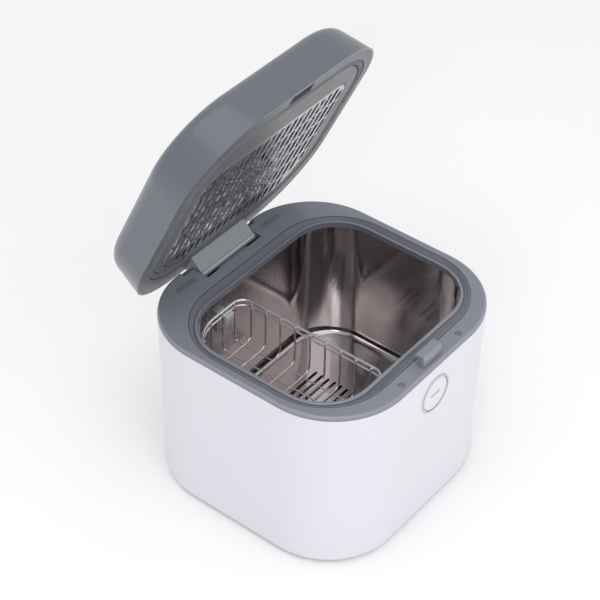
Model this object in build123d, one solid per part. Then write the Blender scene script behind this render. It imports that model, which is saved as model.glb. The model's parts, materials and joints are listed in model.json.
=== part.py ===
from build123d import *
import math
import os

os.makedirs("parts", exist_ok=True)

# Bottle sterilizer with a hinged lamp lid, shown with the lid open.
# Millimetres. X to the right, Y to the back, Z up, origin on the table under the middle of the body.
# Lid pieces are drawn closed and then turned open about the hinge pin.

# Overall sizes
body_width = 270.0
body_depth = 267.0
body_corner = 80.0
foot_height = 3.0
shell_top = 193.0
rim_height = 4.5
lid_height = 45.4
lid_open_angle = 65.0

# Walls, clearances and small parts
shell_wall = 2.5
shell_taper = 3.5
shell_lip = 8.0
bottom_round = 4.0
slip = 0.3
lid_gap = 0.5
cut = 1.0
sheet = 1.0
board_thick = 1.6
screw_radius = 1.5
screw_slack = 0.05
screw_hole = 0.15
least_corner = 1.0

# Rim around the chamber mouth
rim_side = 18.5
rim_front = 31.9
rim_back = 50.5
rim_round = 3.0
rim_deck = 3.0
mouth_corner = 50.0
band_side = 10.1
band_front = 13.8
band_back = 12.7
band_corner = 68.0
band_drop = 3.0
band_step = 0.4
groove_wide = 1.2
groove_deep = 1.5
slope_start = 1.8
lip_wide = 3.0
lip_drop = 1.3
lip_edge = 0.8
skirt_drop = 10.0
skirt_wall = 2.2

# Rubber bumpers let into the rim
bumper_x = 63.5
bumper_inset = 17.5
bumper_long = 26.0
bumper_wide = 5.6
bumper_deep = 1.2
bumper_below = 0.4
dimple_x = 45.0
dimple_inset = 8.8
dimple_radius = 3.2
dimple_above = 0.15
rubber_slack = 0.2

# Chamber tub
chamber_side = 1.5
chamber_front = 1.9
chamber_back = 7.0
chamber_corner = 52.0
chamber_floor = 46.0
chamber_round = 8.0
flange = 6.0
warm_slots = 9
warm_pitch = 8.0
warm_long = 60.0
warm_wide = 3.2
return_slots = 5
return_pitch = 9.0
return_long = 44.0
return_x = -80.0

# Inlet and vents in the back wall
inlet_x = -38.0
inlet_z = 26.0
inlet_wide = 21.0
inlet_tall = 12.0
inlet_deep = 18.0
inlet_edge = 2.5
inlet_flange = 1.4
socket_wall = 1.5
contact_place = 4.3
contact_radius = 1.2
contact_long = 9.0
vent_count = 9
vent_pitch = 8.0
vent_wide = 3.2
vent_x = 22.0
vent_low = 20.0
vent_high = 38.0

# Hinge
hinge_inset = 3.9
hinge_drop = 7.4
pin_radius = 1.75
pin_fit = 0.05
pin_grip = 0.02
pin_over = 5.0
barrel_radius = 4.2
arm_width = 78.4
arm_reach = 17.2
arm_depth = 12.5
arm_lean = 7.1
arm_edge = 4.7
arm_round = 1.5
arm_skin = 3.5
pocket_side = 1.4
pocket_front = 22.1
pocket_depth = 18.0
pocket_wall = 2.0
pocket_bar = 42.0
pocket_bar_wide = 3.5
pocket_bar_drop = 2.2
notch_gap = 2.4
scoop_radius = 28.0
scoop_rise = 22.0
scoop_back = 10.0
scoop_over = 13.0
ear_thick = 3.0
ear_place = 29.5
ear_gap = 0.6
ear_back = 1.0
ear_neck = 3.0
ear_foot = 4.0
bracket_long = 8.0
bracket_thick = 1.5

# Lid release: hook, pivot pin and round front button
hook_width = 28.0
hook_place = 5.8
hook_thick = 8.5
hook_nose = 3.4
hook_tall = 11.5
hook_gap = 0.8
hook_bevel = 1.6
nose_tall = 3.5
rib_count = 4
rib_pitch = 1.8
rib_deep = 0.5
rib_wide = 0.9
pivot_place = 10.1
pivot_drop = 13.5
pivot_radius = 1.5
hook_lever = 21.0
neck_half = 11.0
neck_place = 8.3
neck_thick = 4.8
tail_place = 13.9
tail_thick = 2.4
tail_half = 5.0
tail_below = 3.0
slot_front_gap = 1.7
cheek = 2.0
cheek_low = 4.0
latch_block = 22.0
ring_drop = 18.0
ring_radius = 20.5
ring_wide = 1.8
ring_face = 1.2
ring_sleeve = 8.0
ring_step = 0.6
button_wall = 1.6
button_face = 3.6
button_flange = 1.4
stem_radius = 3.0
mark_long = 12.0
mark_wide = 1.8
mark_thick = 0.5
mark_slack = 0.05

# Wire basket
basket_side_gap = 7.0
basket_front_gap = 10.1
basket_back_gap = 1.7
basket_wide = 86.5
basket_tall = 47.0
basket_drop = 20.5
basket_deep_corner = 46.0
basket_near_corner = 12.0
rim_wire = 3.0
second_wire = 2.2
second_drop = 9.0
side_wire = 1.9
floor_wire = 1.6
wire_pitch = 18.0
cross_bend = 8.0
long_bend = 4.0
wire_sides = 8
cross_place = 14.4
long_wires = 4
long_place_right = 12.0
long_place_left = 20.5
support_wide = 11.0
support_tall = 25.0
support_under = 4.0
support_foot = 5.0
support_edge = 6.0

# Lid: its walls lean in by their own amounts up to the rounded top edge
lid_over_front = 0.5
lid_over_back = 1.0
lid_side_lean = 6.0
lid_front_lean = 13.0
lid_back_lean = 8.0
lid_top_corner = 72.0
lid_crown = 17.0
lid_wall = 2.5
lid_inner_bevel = 9.0
frame_thick = 6.0
seal_wide = 8.0
seal_side = 8.5
seal_front = 15.9
seal_back = 26.5
seal_corner = 68.0
seal_deep = 4.0
seal_below = 0.2
seal_round = 2.4
panel_round = 2.0
boss_wide = 3.6
boss_drill = 9.0
head_radius = 2.8
head_tall = 0.75
side_screws = (-40.0, 30.0)
end_screw_x = 44.0
keeper_slot_side = 1.5
keeper_slot_front = 2.3
keeper_slot_back = 1.6
keeper_over = 4.0
keeper_long = 7.0

# Lamp guard, reflector and lamps
guard_side = 22.0
guard_front = 45.5
guard_back = 15.0
guard_corner = 20.0
guard_back_corner = 46.0
guard_recess = 3.0
guard_ledge = 4.0
slot_wide = 2.5
slot_pitch = 5.5
slot_rows = 4
slot_bridge = 4.0
slot_margin = 4.0
reflector_tall = 24.0
reflector_slope = 18.0
reflector_foot = 3.0
driver_post = 3.0
lamp_length = 148.0
lamp_radius = 7.0
lamp_edge = 43.25
lamp_above = 11.0
cap_length = 12.0
cap_step = 0.6
holder_thick = 5.0
holder_half = 9.0
holder_round = 4.0
driver_wide = 80.0
driver_deep = 52.0
driver_post_x = 34.0
driver_post_y = 20.0
touch_wide = 84.0
touch_deep = 36.0
touch_y = -42.0

# Bottom deck, feet and screws
deck_thick = 2.5
foot_inset = 49.0
foot_radius = 9.0
boss_inset = 19.0
boss_y = 40.0
boss_radius = 4.5
boss_tall = 16.0
boss_rib = 2.0
boss_floor = 4.0
base_head_radius = 3.2
base_head_tall = 1.8
tub_post_side = 30.0
tub_post_front = 23.6
tub_post_back = 17.0
tub_post_radius = 6.0

# Drying fan and heater under the chamber
fan_size = 80.0
fan_thick = 15.0
fan_x = 20.0
fan_y = 10.0
fan_z = 14.0
fan_wall = 2.5
fan_blades = 7
blade_chord = 15.0
blade_thick = 1.2
blade_pitch = 36.0
blade_gap = 0.6
hub_radius = 15.0
shaft_radius = 1.5
bearing_radius = 4.0
bearing_tall = 7.0
fan_arm = 5.0
fan_web = 2.0
fan_screw = 4.5
intake_slots = 9
intake_pitch = 7.5
intake_wide = 3.5
duct_wall = 2.0
heater_gap = 2.0
heater_tall = 9.0
heater_bar = 3.0
fin_pitch = 4.0
fin_thick = 0.8
supply_x = -72.0
supply_y = 10.0
supply_wide = 56.0
supply_deep = 92.0
supply_post_x = 22.0
supply_post_y = 40.0

# Lid switch in the rim and its magnet in the lid
switch_x = 67.0
switch_wide = 16.0
switch_thick = 4.0
switch_tall = 6.0
switch_inset = 12.8
magnet_radius = 4.0
magnet_thick = 3.0
magnet_inset = 18.8

# Derived places
half_width = body_width / 2
half_depth = body_depth / 2
rim_top = shell_top + rim_height
rim_under = shell_top - rim_deck
mouth_half = half_width - rim_side
mouth_front = -half_depth + rim_front
mouth_back = half_depth - rim_back
shell_rise = shell_top - foot_height
taper_angle = math.degrees(math.atan(shell_taper / shell_rise))
deck_z = foot_height + shell_wall
deck_top = deck_z + deck_thick
boss_x = half_width - boss_inset
boss_top = deck_top + boss_tall
lid_plane = rim_top + lid_gap
lid_front = -half_depth - lid_over_front
lid_back = half_depth + lid_over_back
lid_inner_top = lid_plane + lid_height - lid_wall
frame_top = lid_plane + frame_thick
hinge_y = half_depth - hinge_inset
hinge_z = rim_top - hinge_drop
hinge_place = Pos(0, hinge_y, hinge_z)
pocket_half = arm_width / 2 + pocket_side
pocket_y = hinge_y - pocket_front
pocket_floor = hinge_z - pocket_depth
notch_z = hinge_z - barrel_radius - notch_gap
hook_front = -half_depth + hook_place
hook_back = hook_front + hook_thick
pivot_y = -half_depth + pivot_place
pivot_z = rim_top - pivot_drop
neck_front = -half_depth + neck_place
neck_back = neck_front + neck_thick
tail_y = -half_depth + tail_place
button_z = rim_top - ring_drop - ring_radius
basket_left = -mouth_half + basket_side_gap
basket_right = basket_left + basket_wide
basket_front = mouth_front + basket_front_gap
basket_back = mouth_back - basket_back_gap
basket_top = rim_top - basket_drop
basket_floor = basket_top - basket_tall
support_top = basket_top - second_drop
cross_span = basket_back - basket_front - 2 * cross_place
cross_gaps = round(cross_span / wire_pitch)
cross_pitch = cross_span / cross_gaps
long_pitch = (basket_wide - long_place_right - long_place_left) / (long_wires - 1)
seal_half = mouth_half + seal_side
seal_low = mouth_front - seal_front
seal_high = mouth_back + seal_back
seal_roof = lid_plane + seal_deep
guard_half = seal_half - guard_side
guard_low = seal_low + guard_front
guard_high = seal_high - guard_back
guard_middle = (guard_low + guard_high) / 2
guard_z = lid_plane + guard_recess
reflector_top = frame_top + reflector_tall
lamp_z = frame_top + lamp_above
lamp_rows = (guard_low + lamp_edge, guard_high - lamp_edge)
fan_top = fan_z + fan_thick
fan_bore = fan_size / 2 - fan_wall
duct_top = chamber_floor - sheet
corners = [(a, b) for a in (-1, 1) for b in (-1, 1)]


def slab(width, depth, corner, low, high, x=0.0, y=0.0):
    """Upright block with rounded corners in plan."""
    return extrude(Pos(x, y, low) * RectangleRounded(width, depth, corner), high - low)


def framed(half, front, back, corner, low, high):
    """Upright block between a front and a back place, the same to both sides."""
    return slab(2 * half, back - front, corner, low, high, y=(front + back) / 2)


def span(x0, x1, y0, y1, z0, z1):
    """Plain block given by its six faces."""
    return Pos((x0 + x1) / 2, (y0 + y1) / 2, (z0 + z1) / 2) * Box(x1 - x0, y1 - y0, z1 - z0)


def wide(half, y0, y1, z0, z1):
    """Plain block that reaches as far to both sides."""
    return span(-half, half, y0, y1, z0, z1)


def post(x, y, radius, low, high):
    """Upright round post."""
    return Pos(x, y, (low + high) / 2) * Cylinder(radius, high - low)


def rod(radius, x0, x1, y, z):
    """Round bar along X."""
    return Pos((x0 + x1) / 2, y, z) * Rot(0, 90, 0) * Cylinder(radius, x1 - x0)


def across(points, half):
    """Outline given as Y and Z points, drawn out along X to both sides."""
    return extrude(Plane.YZ * Polygon(*points, align=None), half, both=True)


def bottom_edges(shape):
    return shape.edges().group_by(Axis.Z)[0]


def top_edges(shape):
    return shape.edges().group_by(Axis.Z)[-1]


def group(pieces):
    """Separate solids that share one file."""
    return Compound(children=[solid for piece in pieces for solid in piece.solids()])


def shell_inset(z):
    """How far the tapered shell has come in at a height."""
    return shell_taper * (shell_top - z) / shell_rise


def body_slab(inset, low, high):
    """Body outline at its widest, moved in."""
    return slab(body_width - 2 * inset, body_depth - 2 * inset, body_corner - inset, low, high)


def body_loft(inset, low, high):
    """Tapered block that follows the slope of the outer shell, moved in."""
    move = inset + shell_inset(low)
    outline = RectangleRounded(body_width - 2 * move, body_depth - 2 * move, body_corner - move)
    return extrude(Pos(0, 0, low) * outline, high - low, taper=-taper_angle)


def mouth_slab(side, front, back, corner, low, high):
    """Mouth outline moved out by its own amount at the sides, front and back."""
    return framed(mouth_half + side, mouth_front - front, mouth_back + back, corner, low, high)


def front_place(x, z):
    """Place on the shell's front face whose own Z points out of it and whose Y points up."""
    return Pos(x, -half_depth + shell_inset(z), z) * Rot(90 + taper_angle, 0, 0)


def back_place(x, z):
    """Place on the shell's back face whose own Z points out of it and whose Y points up."""
    return Pos(x, half_depth - shell_inset(z), z) * Rot(0, 0, 180) * Rot(90 + taper_angle, 0, 0)


def opened(shape):
    """Turn a lid piece from its closed place to its open rest place."""
    return shape.rotate(Axis((0, hinge_y, hinge_z), (1, 0, 0)), -lid_open_angle)


# Outer shell of the body
def make_outer_shell():
    outer = fillet(bottom_edges(body_loft(0, foot_height, shell_top)), bottom_round)
    shell = outer - body_loft(shell_wall, deck_z, shell_top + cut)
    shell -= body_slab(shell_taper + shell_lip, 0, deck_z + cut)
    shell -= wide(pocket_half, hinge_y - ear_foot, half_depth + cut, notch_z, shell_top + cut)
    shell -= front_place(0, button_z) * Cylinder(ring_radius - ring_step + slip / 2, 4 * shell_wall)
    shell -= back_place(inlet_x, inlet_z) * Box(inlet_wide + slip, inlet_tall + slip, 4 * shell_wall)
    for number in range(vent_count):
        x = vent_x + (number - (vent_count - 1) / 2) * vent_pitch
        vent = SlotOverall(vent_high - vent_low, vent_wide, rotation=90)
        shell -= back_place(x, (vent_low + vent_high) / 2) * extrude(vent, 4 * shell_wall, both=True)
    for side, end in corners:
        x = side * boss_x
        wall = side * (half_width - shell_taper - shell_wall / 2)
        boss = post(x, end * boss_y, boss_radius, deck_top, boss_top)
        boss += span(min(x, wall), max(x, wall), end * boss_y - boss_rib / 2, end * boss_y + boss_rib / 2,
                     deck_top, boss_top)
        shell += boss - post(x, end * boss_y, screw_radius, 0, boss_top - boss_floor + cut)
    return shell


# Top rim with its land, stepped band, hinge pocket and slot for the hook
def bumper_slab(side, grow, low, high):
    radius = bumper_wide / 2 + grow - 0.01
    return slab(bumper_long + 2 * grow, bumper_wide + 2 * grow, radius, low, high,
                x=side * bumper_x, y=half_depth - bumper_inset)


def band_outline(move, z):
    """Outline of the stepped band's outer edge, moved in."""
    width = 2 * (mouth_half + band_side - move)
    depth = mouth_back - mouth_front + band_front + band_back - 2 * move
    middle = (mouth_front - band_front + mouth_back + band_back) / 2
    return Pos(0, middle, z) * RectangleRounded(width, depth, band_corner - move)


def lip_outline(z):
    width = 2 * (mouth_half + lip_wide)
    depth = mouth_back - mouth_front + 2 * lip_wide
    return Pos(0, (mouth_front + mouth_back) / 2, z) * RectangleRounded(width, depth, mouth_corner + lip_wide)


def make_top_rim():
    rim = fillet(top_edges(body_slab(0, shell_top, rim_top)), rim_round)
    skirt = shell_wall + slip
    rim += body_slab(skirt, shell_top - skirt_drop, shell_top)
    rim -= body_slab(skirt + skirt_wall, 0, shell_top)
    rim += mouth_slab(band_side + rim_deck, band_front + rim_deck, band_back + rim_deck,
                      band_corner + rim_deck, rim_under, shell_top)
    rim += wide(latch_block, -half_depth + skirt + skirt_wall / 2, mouth_front, rim_under, shell_top)
    groove = extrude(band_outline(0, rim_top - groove_deep), groove_deep + cut)
    rim -= groove - extrude(band_outline(groove_wide, 0), 2 * rim_top)
    rim -= extrude(band_outline(slope_start, rim_top - band_step), band_step + cut)
    slope = [lip_outline(rim_top - band_drop), band_outline(slope_start, rim_top - band_step)]
    rim -= loft(slope, ruled=True)
    lip = mouth_slab(lip_wide, lip_wide, lip_wide, mouth_corner + lip_wide, rim_under, rim_top - lip_drop)
    rim += chamfer(top_edges(lip), lip_edge)
    rim -= mouth_slab(0, 0, 0, mouth_corner, rim_under - cut, rim_top + cut)
    return dress_rim(rim)


def dress_rim(rim):
    """Hinge pocket, scoop, slot for the hook and seats for the bumpers."""
    reach = pocket_half + pocket_wall
    tub = wide(reach, pocket_y - pocket_wall, hinge_y + ear_back, pocket_floor - pocket_wall, shell_top)
    rim += tub & body_loft(shell_wall + slip, foot_height, shell_top)
    rim -= wide(pocket_half, pocket_y, hinge_y - ear_back, pocket_floor, rim_top + cut)
    rim -= wide(pocket_half, pocket_y, half_depth + cut, notch_z, rim_top + cut)
    rim += wide(pocket_bar / 2, pocket_y - cut, pocket_y + pocket_bar_wide, pocket_floor,
                rim_top - pocket_bar_drop)
    rim -= rod(scoop_radius, -pocket_half - scoop_over, pocket_half + scoop_over, half_depth + scoop_back,
               rim_top + scoop_rise)
    rim -= wide(neck_half + slip, neck_front - slot_front_gap, neck_back + slip, 0, rim_top + cut)
    for side in (-1, 1):
        rim -= bumper_slab(side, 0, rim_top - bumper_deep, rim_top + cut)
        rim -= post(side * dimple_x, -half_depth + dimple_inset, dimple_radius, rim_top - bumper_deep,
                    rim_top + cut)
    return rim


def make_rim_bumpers():
    pieces = []
    seat = rim_top - bumper_deep
    for side in (-1, 1):
        pad = bumper_slab(side, -rubber_slack, seat, rim_top - bumper_below)
        pieces.append(chamfer(top_edges(pad), rubber_slack))
        dome = post(side * dimple_x, -half_depth + dimple_inset, dimple_radius - rubber_slack, seat,
                    rim_top + dimple_above)
        pieces.append(chamfer(top_edges(dome), 3 * rubber_slack))
    return group(pieces)


# Chamber tub pressed from thin steel
def tub_slab(grow, low, high):
    return mouth_slab(chamber_side + grow, chamber_front + grow, chamber_back + grow,
                      chamber_corner + grow, low, high)


def make_chamber_liner():
    outer = fillet(bottom_edges(tub_slab(sheet, chamber_floor - sheet, rim_under)), chamber_round + sheet)
    inner = fillet(bottom_edges(tub_slab(0, chamber_floor, rim_under + cut)), chamber_round)
    liner = outer + tub_slab(flange, rim_under - sheet, rim_under) - inner
    for row in range(warm_slots):
        y = fan_y + (row - (warm_slots - 1) / 2) * warm_pitch
        slot = Pos(fan_x, y, duct_top - cut) * SlotOverall(warm_long, warm_wide)
        liner -= extrude(slot, sheet + 2 * cut)
    for column in range(return_slots):
        x = return_x + (column - (return_slots - 1) / 2) * return_pitch
        slot = Pos(x, fan_y, duct_top - cut) * SlotOverall(return_long, warm_wide, rotation=90)
        liner -= extrude(slot, sheet + 2 * cut)
    return liner


# Brackets on the chamber walls that carry the basket
def support(reach):
    """Wedge bracket on a wall at Y zero that stands out towards -Y, its top at Z zero."""
    profile = ((0, 0), (-reach, 0), (-reach, -support_edge), (-support_foot, -support_tall),
               (0, -support_tall))
    block = across(profile, support_wide / 2)
    return fillet(block.edges().filter_by(Axis.X).sort_by(Axis.Y)[0:2], 1.0)


def make_basket_supports():
    back = mouth_back + chamber_back
    front = mouth_front - chamber_front
    left = -mouth_half - chamber_side
    x = basket_right - long_place_right - long_pitch / 2
    y = basket_front + cross_place + (cross_gaps // 2 + 0.5) * cross_pitch
    return group([
        Pos(x, back, support_top) * support(back - basket_back + support_under),
        Pos(x, front, support_top) * Rot(0, 0, 180) * support(basket_front - front + support_under),
        Pos(left, y, support_top) * Rot(0, 0, 90) * support(basket_left - left + support_under),
    ])


# Hinge: arm on the lid, bracket and pin on the body
def make_hinge_arm():
    lift = lid_plane - hinge_z
    low = -arm_depth
    toe = -arm_reach + arm_lean
    profile = ((-arm_reach, lift), (toe, low), (toe + arm_edge, low + 1.6), (-3.0, -barrel_radius + 1.2),
               (barrel_radius - 0.6, -0.5), (barrel_radius - 1.2, lift))
    block = across(profile, arm_width / 2)
    block = fillet(block.edges().filter_by(Axis.X).sort_by(Axis.Z)[0:2], arm_round)
    arm = hinge_place * block + rod(barrel_radius, -arm_width / 2, arm_width / 2, hinge_y, hinge_z)
    inner = -arm_reach + arm_skin + 0.8
    hollow = ((inner, lift - 2), (inner + arm_lean - 0.8, low + 1), (inner + arm_lean, low - 4),
              (barrel_radius + 4, low - 4), (barrel_radius + 4, lift - 2))
    for side in (-1, 1):
        arm -= Pos(side * ear_place, hinge_y, hinge_z) * across(hollow, ear_thick / 2 + ear_gap)
    return arm - rod(pin_radius + pin_fit, -ear_place - pin_over - cut, ear_place + pin_over + cut,
                     hinge_y, hinge_z)


def make_hinge_bracket():
    bracket = wide(ear_place + 2, hinge_y - 2 - bracket_long, hinge_y - 2, pocket_floor,
                   pocket_floor + bracket_thick)
    for side in (-1, 1):
        x0 = side * ear_place - ear_thick / 2
        x1 = x0 + ear_thick
        ear = span(x0, x1, hinge_y - 2 - ear_foot, hinge_y - 2, pocket_floor, notch_z)
        ear += span(x0, x1, hinge_y - 1 - ear_neck, hinge_y - 1, notch_z - 1, hinge_z)
        bracket += ear + rod(barrel_radius - 0.2, x0, x1, hinge_y, hinge_z)
    return bracket - rod(pin_radius + pin_grip, -half_width, half_width, hinge_y, hinge_z)


def make_hinge_pin():
    pin = rod(pin_radius, -ear_place - pin_over, ear_place + pin_over, hinge_y, hinge_z)
    return chamfer(pin.edges(), 0.3)


# Lid release
def make_latch_hook():
    top = rim_top + hook_tall
    low = rim_top + hook_gap
    nose = hook_back + hook_nose
    head = ((hook_front, low), (hook_front, low + 5), (hook_front + hook_bevel, top), (nose - hook_bevel, top),
            (nose, top - hook_bevel), (nose, top - nose_tall), (hook_back, top - nose_tall), (hook_back, low))
    hook = across(head, hook_width / 2)
    for side in (-1, 1):
        for number in range(rib_count):
            y = hook_front + hook_bevel + 0.8 + number * rib_pitch
            face = side * hook_width / 2
            hook -= span(min(face, face - side * rib_deep), max(face, face - side * rib_deep), y, y + rib_wide,
                         low + 0.8, top - 0.8)
    hook += wide(neck_half, neck_front, neck_back, pivot_z, low)
    hook += rod(pivot_radius + 2, -neck_half, neck_half, pivot_y, pivot_z)
    end = pivot_z - hook_lever - tail_below
    tail = ((pivot_y - 1, pivot_z - 1), (pivot_y + 2, pivot_z + 2), (tail_y + tail_thick, pivot_z - 7),
            (tail_y + tail_thick, end), (tail_y, end), (tail_y, pivot_z - 6))
    hook += across(tail, tail_half)
    return hook - rod(pivot_radius + pin_fit, -hook_width, hook_width, pivot_y, pivot_z)


def make_latch_bracket():
    low = pivot_z - cheek_low
    inside = neck_half + slip
    bracket = wide(latch_block - 1, neck_front - 3, neck_back + 4, rim_under - cheek, rim_under)
    bracket += wide(inside + cheek, neck_front - 1.5, neck_back + 1.5, low, rim_under)
    bracket -= wide(inside, neck_front - 5, neck_back + 3, low - cut, rim_under + cut)
    return bracket - rod(pivot_radius + pin_grip, -half_width, half_width, pivot_y, pivot_z)


def make_latch_pin():
    reach = neck_half + slip + cheek + 0.8
    return rod(pivot_radius, -reach, reach, pivot_y, pivot_z)


def make_button_ring():
    ring = fillet(top_edges(Pos(0, 0, ring_face / 2) * Cylinder(ring_radius, ring_face)), ring_face / 2)
    ring += Pos(0, 0, -ring_sleeve / 2) * Cylinder(ring_radius - ring_step, ring_sleeve)
    ring -= Cylinder(ring_radius - ring_wide, 4 * ring_sleeve)
    return front_place(0, button_z) * ring


def make_open_button():
    outer = ring_radius - ring_wide - slip
    face_high = ring_face / 2
    face_low = face_high - button_face
    flange_top = -ring_sleeve - slip
    flange_low = flange_top - button_flange
    button = fillet(top_edges(post(0, 0, outer, face_low, face_high)), 1.0)
    button += post(0, 0, outer, flange_low, face_low)
    button += post(0, 0, ring_radius - ring_step - slip, flange_low, flange_top)
    button -= post(0, 0, outer - button_wall, flange_low - cut, face_low)
    button -= extrude(Pos(0, 0, face_high - mark_thick) * SlotOverall(mark_long, mark_wide), cut)
    push = pivot_z - hook_lever - button_z
    tip = tail_y + half_depth - shell_inset(button_z) - 2 * slip
    button += post(0, push, stem_radius, -tip, face_low + cut / 2)
    return front_place(0, button_z) * button


def make_button_mark():
    mark = SlotOverall(mark_long - 2 * mark_slack, mark_wide - 2 * mark_slack)
    return front_place(0, button_z) * extrude(Pos(0, 0, ring_face / 2 - mark_thick) * mark, mark_thick)


# Wire basket
def wire_section(place, radius):
    """Round wire drawn with a few flat sides, turned a little so that crossing wires share no face."""
    return place * RegularPolygon(radius, wire_sides, rotation=360 / wire_sides / 3)


def basket_loop(z, radius, inset=0.0):
    """Closed rim wire with two large corners on the left and two small ones on the right."""
    left = basket_left + inset
    right = basket_right - inset
    front = basket_front + inset
    back = basket_back - inset
    deep = basket_deep_corner - inset
    near = basket_near_corner - inset
    path = Wire([
        Edge.make_line((left + deep, front, z), (right - near, front, z)),
        Edge.make_circle(near, Plane((right - near, front + near, z)), 270, 360),
        Edge.make_line((right, front + near, z), (right, back - near, z)),
        Edge.make_circle(near, Plane((right - near, back - near, z)), 0, 90),
        Edge.make_line((right - near, back, z), (left + deep, back, z)),
        Edge.make_circle(deep, Plane((left + deep, back - deep, z)), 90, 180),
        Edge.make_line((left, back - deep, z), (left, front + deep, z)),
        Edge.make_circle(deep, Plane((left + deep, front + deep, z)), 180, 270),
    ])
    return sweep(wire_section(Plane((left + deep, front, z), z_dir=(1, 0, 0)), radius), path=path)


def bent_wire(points, radius, bend):
    """Wire along straight runs with rounded corners."""
    path = FilletPolyline(*points, radius=bend)
    return sweep(wire_section(Plane(path @ 0, z_dir=path % 0), radius), path=path)


def left_edge(y, inset):
    """Left side of the basket's outline at a place along Y."""
    deep = basket_deep_corner - inset
    middle = basket_left + basket_deep_corner
    over = max(basket_front + basket_deep_corner - y, y - basket_back + basket_deep_corner, 0.0)
    return middle - math.sqrt(deep * deep - over * over)


def end_edges(x, inset):
    """Front and back of the basket's outline at a place along X."""
    deep = basket_deep_corner - inset
    over = max(basket_left + basket_deep_corner - x, 0.0)
    drop = basket_deep_corner - math.sqrt(deep * deep - over * over)
    return basket_front + drop, basket_back - drop


def make_basket_rim():
    return group([
        basket_loop(basket_top - rim_wire / 2, rim_wire / 2),
        basket_loop(support_top + slip + second_wire / 2, second_wire / 2, inset=(rim_wire - second_wire) / 2),
    ])


def make_basket_cross_wires():
    inset = (rim_wire + side_wire) / 2
    top = basket_top - rim_wire / 2
    right = basket_right - inset
    pieces = []
    for number in range(cross_gaps + 1):
        y = basket_front + cross_place + number * cross_pitch
        left = left_edge(y, inset)
        points = ((right, y, top), (right, y, basket_floor), (left, y, basket_floor), (left, y, top))
        pieces.append(bent_wire(points, side_wire / 2, cross_bend))
    return group(pieces)


def make_basket_long_wires():
    top = basket_top - rim_wire / 2
    floor = basket_floor - (side_wire + floor_wire) / 2
    pieces = []
    for number in range(long_wires):
        x = basket_right - long_place_right - number * long_pitch
        front, back = end_edges(x, (rim_wire + floor_wire) / 2)
        points = ((x, front, top), (x, front, floor), (x, back, floor), (x, back, top))
        pieces.append(bent_wire(points, floor_wire / 2, long_bend))
    return group(pieces)


# Lid
def lid_face(height, inset):
    """Lid outline at a height above its rim, moved in."""
    share = height / lid_height
    side = half_width - lid_side_lean * share - inset
    front = lid_front + lid_front_lean * share + inset
    back = lid_back - lid_back_lean * share - inset
    corner = body_corner + (lid_top_corner - body_corner) * share - inset
    outline = RectangleRounded(2 * side, back - front, corner)
    return Pos(0, (front + back) / 2, lid_plane + height) * outline


def lid_block(inset, low):
    """Lid shape moved in by a wall, from a height above its rim up to its top."""
    return loft([lid_face(low, inset), lid_face(lid_height - inset, inset)], ruled=True)


def lid_screw_places():
    side = seal_half - seal_wide / 2
    ends = (seal_low + seal_wide / 2, seal_high - seal_wide / 2)
    places = [(x, y) for x in (-side, side) for y in side_screws]
    return places + [(x, y) for x in (-end_screw_x, end_screw_x) for y in ends]


def make_lid_shell():
    outer = lid_block(0, 0)
    outer = fillet(top_edges(outer), lid_crown)
    inner = lid_block(lid_wall, -cut)
    shell = outer - chamfer(top_edges(inner), lid_inner_bevel)
    for x, y in lid_screw_places():
        boss = post(x, y, boss_wide, frame_top, lid_plane + lid_height) & outer
        shell += boss - post(x, y, screw_radius, 0, frame_top + boss_drill)
    return shell


def seal_slab(inset, low, high):
    return framed(seal_half - inset, seal_low + inset, seal_high - inset, seal_corner - inset, low, high)


def guard_outline(grow):
    """Outline of the lamp window, with its own corners at the front and at the back."""
    outline = Rectangle(2 * (guard_half + grow), guard_high - guard_low + 2 * grow)
    outline = fillet(outline.vertices().group_by(Axis.Y)[-1], max(guard_back_corner + grow, least_corner))
    return fillet(outline.vertices().group_by(Axis.Y)[0], max(guard_corner + grow, least_corner))


def guard_slab(grow, low, high):
    return extrude(Pos(0, guard_middle, low) * guard_outline(grow), high - low)


def make_lid_frame():
    frame = loft([lid_face(height, lid_wall + slip) for height in (0, frame_thick)], ruled=True)
    channel = seal_slab(0, lid_plane - cut, seal_roof)
    frame -= channel - fillet(bottom_edges(seal_slab(seal_wide, lid_plane, seal_roof + cut)), panel_round)
    frame -= guard_slab(0, lid_plane - cut, frame_top + cut)
    frame -= guard_slab(guard_ledge, guard_z, frame_top + cut)
    frame -= wide(hook_width / 2 + keeper_slot_side, hook_front - keeper_slot_front,
                  hook_back + keeper_slot_back, 0, frame_top + cut)
    for x, y in lid_screw_places():
        frame -= post(x, y, screw_radius + screw_hole, 0, frame_top + cut)
        frame -= post(x, y, head_radius + rubber_slack, lid_plane, seal_roof + head_tall)
    return frame


def make_latch_keeper():
    start = hook_back + keeper_slot_back
    return wide(hook_width / 2 + keeper_over, start, start + keeper_long, frame_top, frame_top + sheet)


def make_lid_seal():
    outer = seal_slab(rubber_slack, lid_plane - seal_below, seal_roof)
    ring = outer - seal_slab(seal_wide - rubber_slack, 0, seal_roof + cut)
    return fillet(bottom_edges(ring), seal_round)


def make_lid_screws():
    pieces = []
    for x, y in lid_screw_places():
        head = post(x, y, head_radius, seal_roof + screw_slack, seal_roof + head_tall)
        pieces.append(head + post(x, y, screw_radius - screw_slack, seal_roof + head_tall / 2,
                                  frame_top + boss_drill - cut))
    return group(pieces)


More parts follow.
